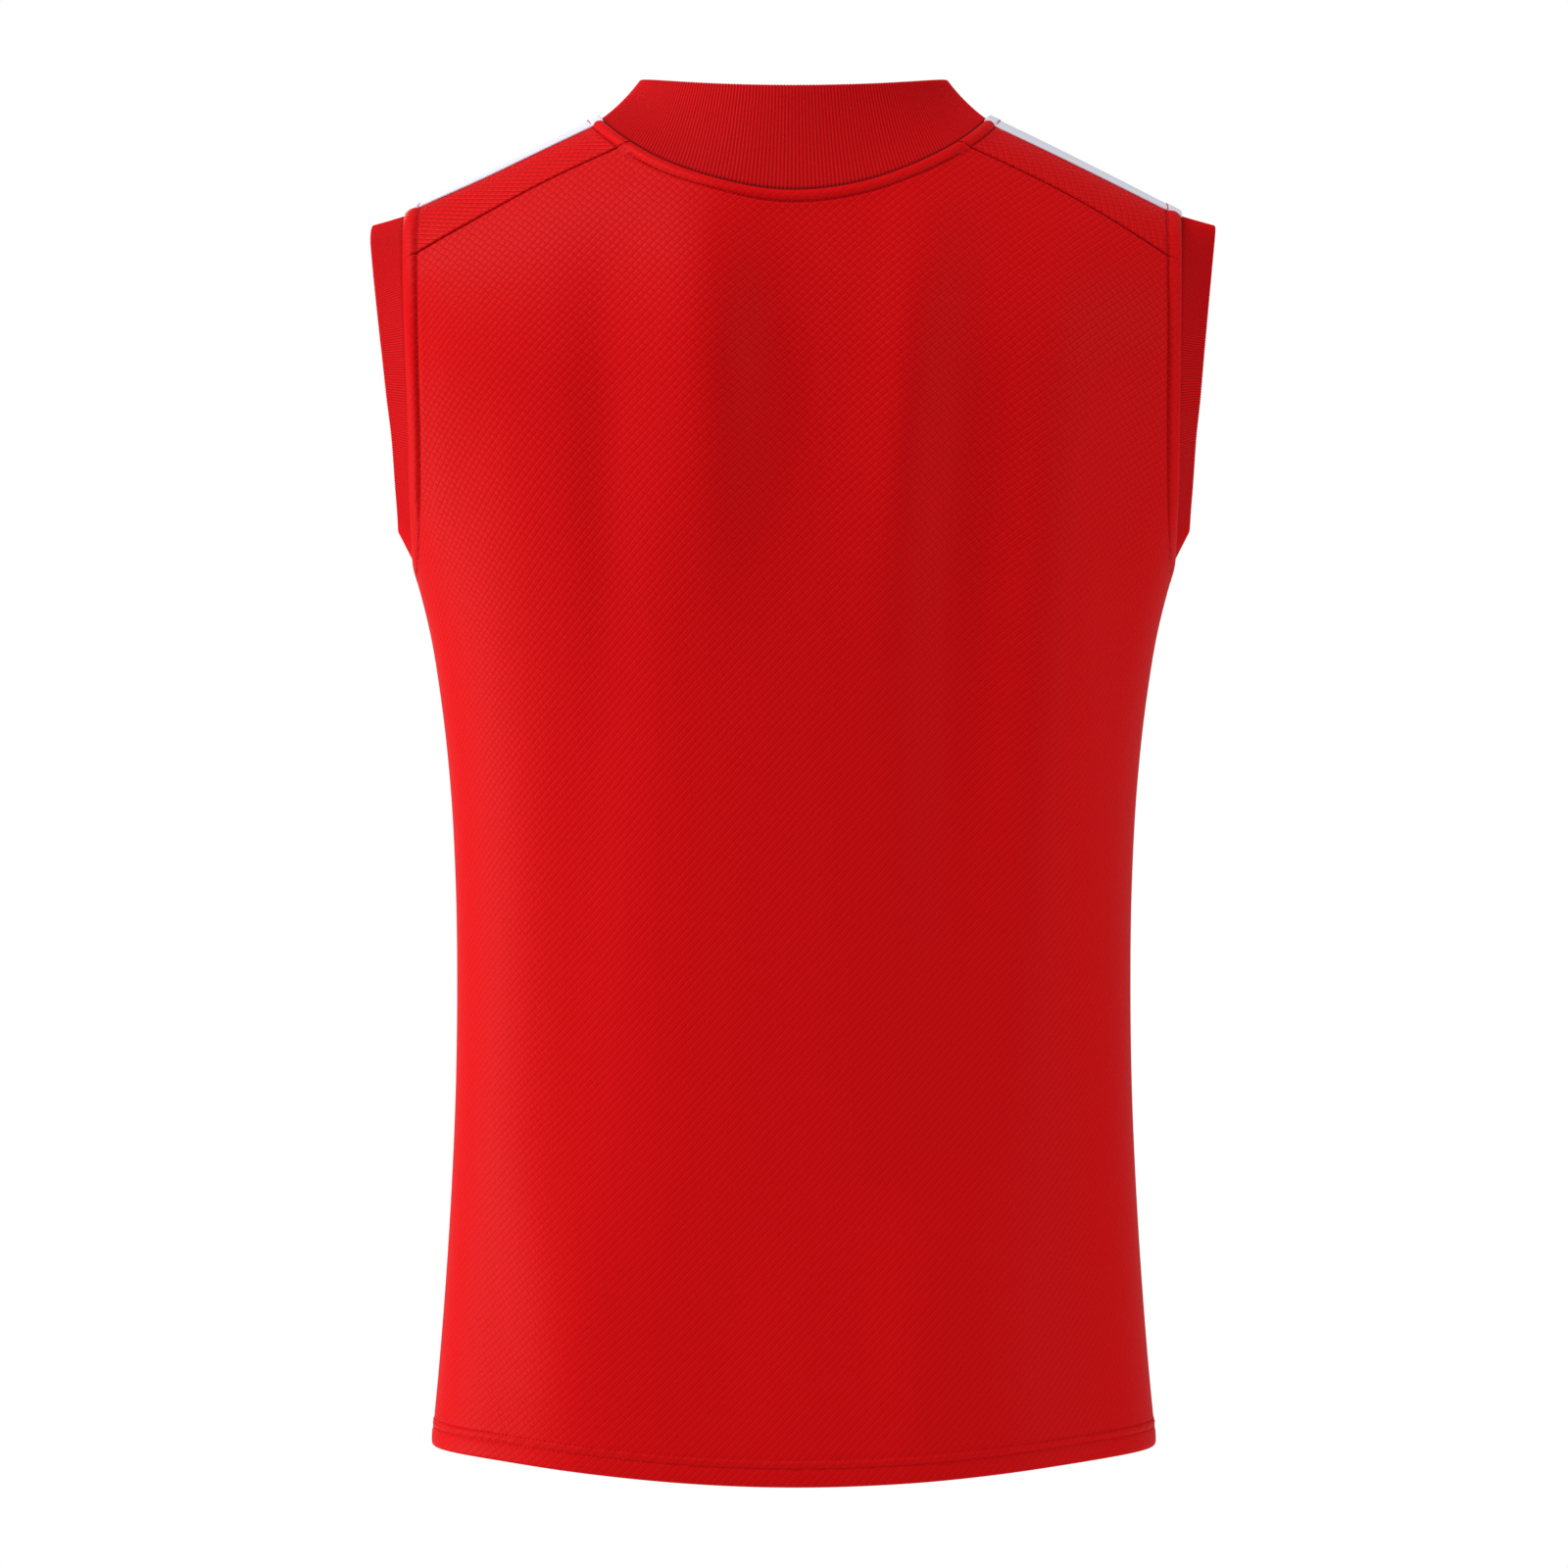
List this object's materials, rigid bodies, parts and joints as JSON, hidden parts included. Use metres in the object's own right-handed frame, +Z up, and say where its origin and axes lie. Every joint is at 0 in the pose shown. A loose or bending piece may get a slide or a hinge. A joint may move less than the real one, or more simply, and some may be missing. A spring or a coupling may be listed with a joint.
{
  "type": "sleeveless training jersey",
  "caption": "Sleeveless red knit training jersey, filled out as if worn, with a stand-up rib collar, rib armbands and a plain white band over each shoulder.",
  "frame": {"origin": "the point between the two side neck points, where the wearer's shoulders carry the jersey", "axes": "+Z up, the wearer faces -Y, the wearer's left is +X"},
  "size_m": [0.468, 0.2354, 0.7696],
  "materials": {
    "red_knit": "smooth polyester knit with a fine raised diamond relief and a soft sheen",
    "red_rib": "matt rib knit with a rib every 1.3 to 1.8 mm",
    "white_tape": "smooth white knit tape"
  },
  "bodies": {
    "root": {"back_panel": "red_knit", "front_panel": "red_knit", "shoulder_panel_left": "red_knit", "shoulder_panel_right": "red_knit", "shoulder_band_left": "white_tape", "shoulder_band_right": "white_tape", "collar": "red_rib", "armband_left": "red_rib", "armband_right": "red_rib"}
  },
  "joints": []
}
